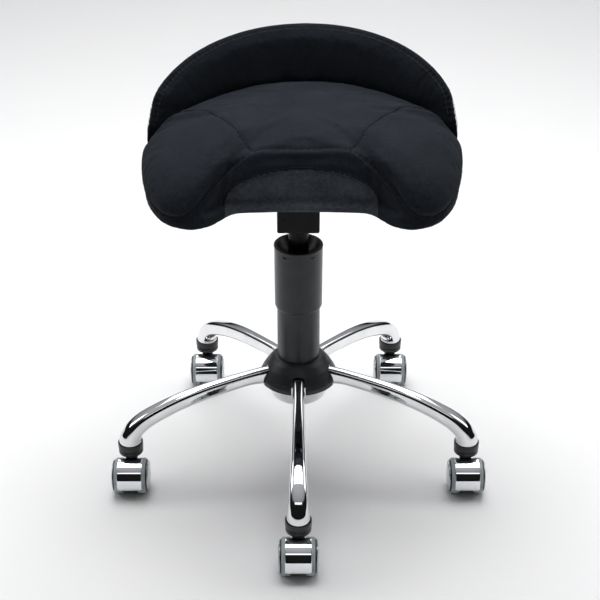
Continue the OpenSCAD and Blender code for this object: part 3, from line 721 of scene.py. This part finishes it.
def relax(mesh, rounds):
    """Evens a mesh out without shrinking it: each smoothing step is followed by one back."""
    places = mesh_points(mesh)
    ends = np.empty(len(mesh.edges) * 2, dtype=np.int32)
    mesh.edges.foreach_get("vertices", ends)
    first, second = ends.reshape(-1, 2).T
    count = np.bincount(ends, minlength=len(places))[:, None]
    forward, back = 0.55, -0.57
    for factor in (forward, back) * rounds:
        total = np.zeros(places.shape)
        np.add.at(total, first, places[second])
        np.add.at(total, second, places[first])
        places = places + factor * (total / count - places)
    mesh.vertices.foreach_set("co", places.astype(np.float32).ravel())
    mesh.update()


def swollen(name, node, material, held, shrink, voxel, cap, extra=None):
    """The soft solid, drawn in by shrink, then blown up as cloth by at most cap millimetres.
    held is a test on a point's place, for the points that stay where they are. extra is a
    shape that the cover takes in."""
    shrink_over = 20
    obj = add_object(name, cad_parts[node].data.copy())
    obj.data.materials.clear()
    work = bmesh.new()
    work.from_mesh(obj.data)
    bmesh.ops.remove_doubles(work, verts=work.verts, dist=1e-6)
    bmesh.ops.recalc_face_normals(work, faces=work.faces)
    work.normal_update()
    for v in work.verts:
        share = min(max((v.co.z / MM - PAN_TOP) / shrink_over, 0), 1)
        v.co -= v.normal * shrink * MM * share
    if extra is not None:
        work.from_mesh(make_mesh("extra", extra, material))
    work.to_mesh(obj.data)
    work.free()
    remesh = obj.modifiers.new("remesh", "REMESH")
    remesh.mode, remesh.voxel_size = "VOXEL", voxel * MM
    bpy.context.view_layer.update()
    apply_modifiers(obj)
    relax(obj.data, 6)
    inflate(obj, cap, held)
    split = obj.modifiers.new("split", "SUBSURF")
    split.levels = split.render_levels = 1
    bpy.context.view_layer.update()
    apply_modifiers(obj)
    obj.data.materials.clear()
    obj.data.materials.append(material)
    obj.data.shade_smooth()
    return obj


def inflate(obj, cap, held):
    """Blows the mesh up as pinned cloth under pressure, by at most cap millimetres."""
    pressure, frames = 4.0, 20
    start = mesh_points(obj.data)
    pinned = obj.vertex_groups.new(name="pinned")
    pinned.add([i for i, p in enumerate(start / MM) if held(p)], 1.0, "REPLACE")
    cloth = obj.modifiers.new("cloth", "CLOTH")
    cloth.settings.use_pressure = True
    cloth.settings.uniform_pressure_force = pressure
    cloth.settings.vertex_group_mass = "pinned"
    cloth.settings.effector_weights.gravity = 0.0
    cloth.collision_settings.use_collision = False
    cloth.point_cache.frame_end = frames
    for number in range(1, frames + 1):
        scene.frame_set(number)
    apply_modifiers(obj)
    scene.frame_set(1)
    shift = mesh_points(obj.data) - start
    length = np.maximum(np.linalg.norm(shift, axis=1), 1e-9)
    # Soft cap, so that no edge shows where the limit is reached
    shift *= (cap * MM * np.tanh(length / (cap * MM)) / length)[:, None]
    obj.data.vertices.foreach_set("co", (start + shift).ravel())
    obj.data.update()


def rim_height(u):
    """Height of the ridge's top line, at u from -1 to 1 along it."""
    fall, end_fall, end_from = 63, 22, 0.9
    t = min(max((abs(u) - end_from) / (1 - end_from), 0), 1)
    return RIDGE_TOP - fall * abs(u) ** 2.1 - end_fall * t * t * (3 - 2 * t)


def rim_point(u, share, drop):
    """A point near the ridge's top line: share of the way from the crease to the outer face."""
    ends = []
    for turn, radius, middle in ((CREASE_TURN, CREASE_R, CREASE_Y), (BACK_TURN, BACK_R, BACK_Y)):
        a = math.radians(u * turn)
        ends.append(np.array((math.sin(a), math.cos(a))) * radius + (0, middle))
    x, y = ends[0] + (ends[1] - ends[0]) * share
    return (x, y, rim_height(u) - drop)


def mirrored(half):
    """Both halves of a line that starts on the middle plane."""
    return [(-x, y, z) for x, y, z in half[:0:-1]] + list(half)


# Seams: round the cushion's edge, across its top, and along both sides of the ridge's crest
EDGE_SEAM = mirrored([(0, -111, 531), (50, -112, 530), (85, -122, 513), (115, -150, 492),
                      (145, -174, 467), (178, -143, 466), (203, -60, 478), (202, 4, 484)])
TOP_SEAMS = [[(side * x, y, z) for x, y, z in ((166, 44, 520), (130, 18, 532), (95, -45, 540),
                                               (72, -92, 536), (61, -111, 528))]
             for side in (-1, 1)]
# The front panel's arched top: half an ellipse 188 wide and 44 high
WALL_SEAM = [(94 * math.sin(a), -125 - 10 * math.sin(a) ** 6, 466 + 44 * math.cos(a))
             for a in np.linspace(-math.pi / 2, math.pi / 2, 25)]
RIM_STEPS = np.linspace(-0.985, 0.985, 41)
RIM_SEAM = [rim_point(u, 0.56, 3) for u in RIM_STEPS]
BACK_SEAM = [rim_point(u, 0.94, 16) for u in RIM_STEPS]


def snapped(mesh, line, step=1.0):
    """The line laid on the mesh as points step millimetres apart, with the surface's normals."""
    tree = BVHTree.FromPolygons([v.co for v in mesh.vertices], [p.vertices for p in mesh.polygons])
    fine = curve(line, 12)
    places = []
    for p in fine:
        place, normal, _, _ = tree.find_nearest(Vector(p) * MM)
        places.append((np.array(place) / MM, np.array(normal)))
    lengths = [0.0]
    for (a, _), (b, _) in zip(places, places[1:]):
        lengths.append(lengths[-1] + float(np.linalg.norm(b - a)))
    wanted = np.arange(0, lengths[-1], step)
    points = np.array([[np.interp(s, lengths, [p[0][k] for p in places]) for k in range(3)]
                       for s in wanted])
    for _ in range(6):
        points[1:-1] = (points[:-2] + 2 * points[1:-1] + points[2:]) / 4
    normals = []
    for i, p in enumerate(points):
        place, normal, _, _ = tree.find_nearest(Vector(p) * MM)
        points[i] = np.array(place) / MM
        normals.append(np.array(normal))
    return points, np.array(normals)


def press_seams(obj, seams, depth=1.7, width=2.3, swell=0.7):
    """Pulls the cloth in along each seam, with a swelling and small puckers beside it."""
    reach, swell_at, pucker_height, pucker_pitch = 22, 8, 0.45, 7.5
    spots = [p for points, _ in seams for p in points]
    along = [i for points, _ in seams for i in range(len(points))]
    tree = KDTree(len(spots))
    for i, p in enumerate(spots):
        tree.insert(Vector(p), i)
    tree.balance()
    places = mesh_points(obj.data) / MM
    normals = np.zeros(len(places) * 3)
    obj.data.vertex_normals.foreach_get("vector", normals)
    normals = normals.reshape(-1, 3)
    for i, p in enumerate(places):
        _, nearest, away = tree.find(Vector(p))
        if away < reach:
            turn = along[nearest] / pucker_pitch * 2 * math.pi
            pucker = pucker_height * math.sin(turn) * math.exp(-(away / 5) ** 2)
            lift = swell * math.exp(-((away - swell_at) / 5) ** 2)
            lift -= depth * math.exp(-(away / width) ** 2)
            places[i] += normals[i] * (lift + pucker)
    obj.data.vertices.foreach_set("co", (places * MM).ravel())
    obj.data.update()


def stitch_row(seam, aside, pitch=4.4, length=3.0, radius=0.34):
    """A row of thread stitches beside a seam, each arched over the cloth."""
    points, normals = seam
    crown, groove_depth, groove_width, dip = 0.62, 0.935, 2.3, 0.45
    lift = crown - groove_depth * math.exp(-(aside / groove_width) ** 2)
    shapes = []
    for start in np.arange(2, len(points) - length - 2, pitch):
        i, j = int(start), int(start + length)
        along = points[j] - points[i]
        if np.linalg.norm(along) < 0.5:
            continue
        along /= np.linalg.norm(along)
        across = np.cross(along, normals[i])
        base = across * aside
        path = [points[i] + base + normals[i] * (lift - dip),
                points[i] + along * 0.6 + base + normals[i] * lift,
                points[j] - along * 0.6 + base + normals[j] * lift,
                points[j] + base + normals[j] * (lift - dip)]
        shapes.append(tube(path, radius, 6))
    return joined(*shapes)


# Front of the seat's outline, on its right half, from the middle of the notch round the lobe
SEAT_FRONT = [(0, -123), (48, -123.5), (82, -126), (100, -135), (113, -153), (126, -169), (146, -176),
              (173, -160), (194, -120), (206, -70), (210, -20), (207, 2)]
CUSHION_MID = np.array((0.0, -8.0))
OUTLINE_COUNT = 420
# The pan's outline: this share of the front one, and an arc at the back
PAN_SHARE = 0.93
PAN_BACK_R = 192.0
FOLD_LOW = 448.2


def seat_outline(front_share, back_radius):
    """Edge of the seat, evenly stepped, with its outward directions."""
    half = [CUSHION_MID + (np.array(p) - CUSHION_MID) * front_share for p in SEAT_FRONT]
    half += [(np.array((math.sin(a), math.cos(a))) * back_radius + (0, BACK_Y))
             for a in (math.radians(turn) for turn in range(74, -1, -8))]
    half.append(np.array((0, back_radius + BACK_Y)))
    half = curve(half, 8)
    line = half + [np.array((-p[0], p[1])) for p in half[-2:0:-1]]
    lengths = np.cumsum([0] + [float(np.linalg.norm(b - a)) for a, b in zip(line, line[1:] + line[:1])])
    wanted = np.linspace(0, lengths[-1], OUTLINE_COUNT, endpoint=False)
    loop = np.array(line + line[:1])
    even = np.stack([np.interp(wanted, lengths, loop[:, k]) for k in range(2)], axis=1)
    ahead, behind = np.roll(even, -3, axis=0), np.roll(even, 3, axis=0)
    step = ahead - behind
    step /= np.linalg.norm(step, axis=1)[:, None]
    return even, np.stack([step[:, 1], -step[:, 0]], axis=1)


def turned_under():
    """The part of the cover that goes down round the edge of the pan."""
    line, outward = seat_outline(PAN_SHARE, PAN_BACK_R)
    rings = []
    for offset, z in ((3, 449.6), (7, 450.2), (8.6, 452), (9, 456), (8, 466)):
        rings.append([(*(p + out * offset), z) for p, out in zip(line, outward)])
    return loft(rings)


def dust_cover():
    """Thin cloth stapled under the seat, with its edge folded over, and its staples."""
    edge, inner_edge = 4, -10
    line, outward = seat_outline(PAN_SHARE, PAN_BACK_R)
    rings = []
    for offset, z in ((-edge, 449.4), (-3.2, 448.8), (-edge, FOLD_LOW), (-11, 448.1), (-11.8, 448.5)):
        ring = []
        for i, (p, out) in enumerate(zip(line, outward)):
            wavy = 0.8 * math.sin(i * 0.31) + 0.5 * math.sin(i * 0.83)
            ring.append((*(p + out * (offset + wavy * (offset < inner_edge))), z))
        rings.append(ring)
    mesh = make_mesh("dust_cover", loft(rings), MATERIALS["seat_fabric"], 60)
    cover = add_piece("dust_cover", mesh, "seat", "seat_fabric")
    staple_half, staple_r, staple_low, inset, spacing = 4.5, 0.42, 447.6, 7.5, 8
    staples = []
    for i in range(4, OUTLINE_COUNT, spacing):
        along = np.array((-outward[i][1], outward[i][0]))
        middle = line[i] - outward[i] * inset
        first, last = middle - along * staple_half, middle + along * staple_half
        staples.append(tube([(*first, FOLD_LOW), (*(first + along), staple_low),
                             (*(last - along), staple_low), (*last, FOLD_LOW)], staple_r, 6))
    mesh = make_mesh("cover_staples", joined(*staples), MATERIALS["bare_steel"])
    add_piece("cover_staples", mesh, "seat", "bare_steel")


def near_crease(p, slack):
    """Whether a point is by the curved wall that the cushion and the ridge share."""
    return p[1] > 0 and abs(math.hypot(p[0], p[1] - CREASE_Y) - CREASE_R) < slack


def hand_made(obj):
    """The slight uneven set of a hand-covered seat: to the right, and higher at the right."""
    aside, aside_slope, tilt, tilt_over = 5, 0.008, 0.014, 40
    places = mesh_points(obj.data)
    places[:, 0] += aside * MM + aside_slope * places[:, 1]
    above_pan = np.clip((places[:, 2] / MM - PAN_TOP) / tilt_over, 0, 1)
    places[:, 2] += tilt * above_pan * places[:, 0]
    obj.data.vertices.foreach_set("co", places.ravel())
    obj.data.update()


def panel_below(mesh, seam, material):
    """Gives the front panel under a seam its copy of the cloth painted lighter, as painted light."""
    front = -100
    mesh.materials.append(material)
    across, heights = zip(*sorted((p[0], p[2]) for p in seam))
    for face in mesh.polygons:
        x, y, z = face.center / MM
        if y < front and abs(x) < across[-1] and z < np.interp(x, across, heights):
            face.material_index = 1


def seat():
    """Cushion and ridge with their seams and stitches, held at the pan and where they meet."""
    slack, below_crease = 4.5, 520
    cushion = swollen("seat_cushion_cover", "seat_cushion", MATERIALS["seat_fabric"],
                      lambda p: p[2] < PAN_TOP - 2 or near_crease(p, slack),
                      shrink=1.5, voxel=4.0, cap=6.0, extra=turned_under())
    # The ridge is covered with the cloth painted darker, as painted shade
    ridge = swollen("back_ridge_cover", "back_ridge", ridge_cloth_painted_shade,
                    lambda p: p[2] < PAN_TOP + 4 or near_crease(p, slack) and p[2] < below_crease,
                    shrink=-0.5, voxel=3.2, cap=3.0)
    # The front panel gets the cloth painted lighter, as painted light
    panel_below(cushion.data, WALL_SEAM, skirt_cloth_painted_light)
    cushion_seams = [snapped(cushion.data, line) for line in [EDGE_SEAM, WALL_SEAM, *TOP_SEAMS]]
    press_seams(cushion, cushion_seams)
    ridge_seams = [snapped(ridge.data, line) for line in (RIM_SEAM, BACK_SEAM)]
    press_seams(ridge, ridge_seams, depth=1.2, swell=0.4)
    edge, wall, left, right = cushion_seams
    beside = 2.8
    rows = [stitch_row(edge, beside), stitch_row(wall, -beside)]
    rows += [stitch_row(seam, aside) for seam in (left, right) for aside in (-beside, beside)]
    rows += [stitch_row(seam, 2.6) for seam in ridge_seams]
    mesh = make_mesh("seat_stitching", joined(*rows), thread_material, 60)
    stitching = add_piece("seat_stitching", mesh, "seat", "seat_fabric")
    hand_made(stitching)
    for obj, node in ((cushion, "seat_cushion"), (ridge, "back_ridge")):
        hand_made(obj)
        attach(obj, "seat")
        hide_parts(node)


# --- The frame's own nodes ------------------------------------------------
# The first prefix that fits a node's name gives its slot, and the rest are sleeves
NODE_SLOTS = {
    "column_tube": "black_steel", "guide_bush": "bush_plastic", "thrust_bearing": "bare_steel",
    "retaining_clip": "bare_steel", "piston_rod": "bare_steel", "bump_stop": "stop_rubber",
    "gas_cylinder": "black_steel", "cone_socket": "black_steel", "valve_button": "valve_plastic",
    "lever_pin": "bare_steel", "lever_grip": "castor_plastic", "lever_rod": "black_steel",
    "tee_nuts": "bare_steel", "mounting": "bare_steel", "mechanism": "black_steel",
    "seat_pan": "plywood", "seat_cushion": "seat_fabric", "back_ridge": "seat_fabric",
    "star_base": "polished_aluminium", "hub_cover": "hub_plastic", "sleeve_cap": "cup_plastic",
    "castor_stems": "bare_steel", "castor_axle": "bare_steel", "castor_housing": "castor_plastic",
    "castor_hood": "castor_chrome", "wheel_cap": "cap_silver", "wheel": "wheel_grey",
}


def dress_frame():
    """Gives every node of the frame, shown or not, its procedural material."""
    for name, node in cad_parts.items():
        slots = [slot for prefix, slot in NODE_SLOTS.items() if name.startswith(prefix)]
        node.data.materials.clear()
        node.data.materials.append(MATERIALS[slots[0] if slots else "sleeve_plastic"])


# --- Studio ---------------------------------------------------------------

def floor():
    work = bmesh.new()
    bmesh.ops.create_circle(work, cap_ends=True, segments=96, radius=6.0)
    mesh = bpy.data.meshes.new("floor")
    work.to_mesh(mesh)
    work.free()
    material = new_material("floor_paper", (0.84, 0.84, 0.84), 0.7, specular=0.2)
    n = Nodes(material)
    n.link(n.ramp(n.noise(400, 2), (0.83, 0.83, 0.83), (0.85, 0.85, 0.85)),
           n.shader.inputs["Base Color"])
    mesh.materials.append(material)
    add_object("floor", mesh)


def softbox(name, place, aim, size, power):
    """Area light at a place in metres, aimed at another."""
    light = bpy.data.lights.new(name, "AREA")
    light.shape, light.size, light.size_y, light.energy = "RECTANGLE", size[0], size[1], power
    obj = bpy.data.objects.new(name, light)
    obj.location = place
    obj.rotation_euler = (Vector(aim) - Vector(place)).to_track_quat("-Z", "Y").to_euler()
    scene.collection.objects.link(obj)


def studio():
    """Studio that is dark beyond the camera, and light overhead and behind the object."""
    back_share, lowest, highest = 0.4, -0.4, 1.4
    world = bpy.data.worlds.new("studio")
    scene.world = world
    world.use_nodes = True
    nodes, links = world.node_tree.nodes, world.node_tree.links
    place = nodes.new("ShaderNodeTexCoord")
    split = nodes.new("ShaderNodeSeparateXYZ")
    links.new(place.outputs["Generated"], split.inputs["Vector"])
    # How high a direction points, counted higher towards the back wall
    lean = nodes.new("ShaderNodeMath")
    lean.operation = "MULTIPLY_ADD"
    lean.inputs[1].default_value = back_share
    links.new(split.outputs["Y"], lean.inputs[0])
    links.new(split.outputs["Z"], lean.inputs[2])
    spread = nodes.new("ShaderNodeMapRange")
    spread.inputs["From Min"].default_value = lowest
    spread.inputs["From Max"].default_value = highest
    links.new(lean.outputs["Value"], spread.inputs["Value"])
    ramp = nodes.new("ShaderNodeValToRGB")
    links.new(spread.outputs["Result"], ramp.inputs["Fac"])
    # Places along the ramp, and how bright it is there
    shades = ((0.0, 0.01), (0.48, 0.012), (0.54, 0.30), (0.70, 0.50), (0.85, 0.62))
    elements = ramp.color_ramp.elements
    while len(elements) < len(shades):
        elements.new(0.5)
    for element, (position, value) in zip(elements, shades):
        element.position = position
        element.color = (value, value * 1.01, value * 1.05, 1)
    path = nodes.new("ShaderNodeLightPath")
    mix = nodes.new("ShaderNodeMix")
    mix.data_type = "RGBA"
    links.new(path.outputs["Is Camera Ray"], mix.inputs["Factor"])
    links.new(ramp.outputs["Color"], mix.inputs["A"])
    mix.inputs["B"].default_value = (0.9, 0.9, 0.9, 1)
    links.new(mix.outputs["Result"], nodes["Background"].inputs["Color"])
    softbox("overhead", (0, 0.5, 2.4), (0, 0, 0.3), (1.8, 1.6), 62)
    softbox("front_strip", (0, -2.3, 2.5), (0, 0, 0.3), (2.4, 0.4), 5)
    softbox("backdrop", (0, 3.4, 2.8), (0, 3.2, 0), (5.0, 2.0), 55)
    for side in (-1, 1):
        softbox("side_box", (side * 2.0, 0.4, 1.5), (0, 0, 0.3), (0.8, 1.2), 9)


def camera():
    """Camera in front of the object, looking down at it by pitch degrees."""
    place, pitch, lens = (0.0021, -1.5538, 1.1334), 29.40, 76.62
    data = bpy.data.cameras.new("camera")
    data.sensor_width = 36.0
    data.lens = lens
    obj = bpy.data.objects.new("camera", data)
    obj.location = place
    obj.rotation_euler = (math.radians(90 - pitch), 0, 0)
    scene.collection.objects.link(obj)
    scene.camera = obj


camera()
dress_frame()
star_base()
hub_cover()
sleeves()
bracket()
bolts()
lever()
castors()
seat()
dust_cover()
floor()
studio()
scene.view_settings.view_transform = "Standard"
scene.view_settings.exposure = -0.25
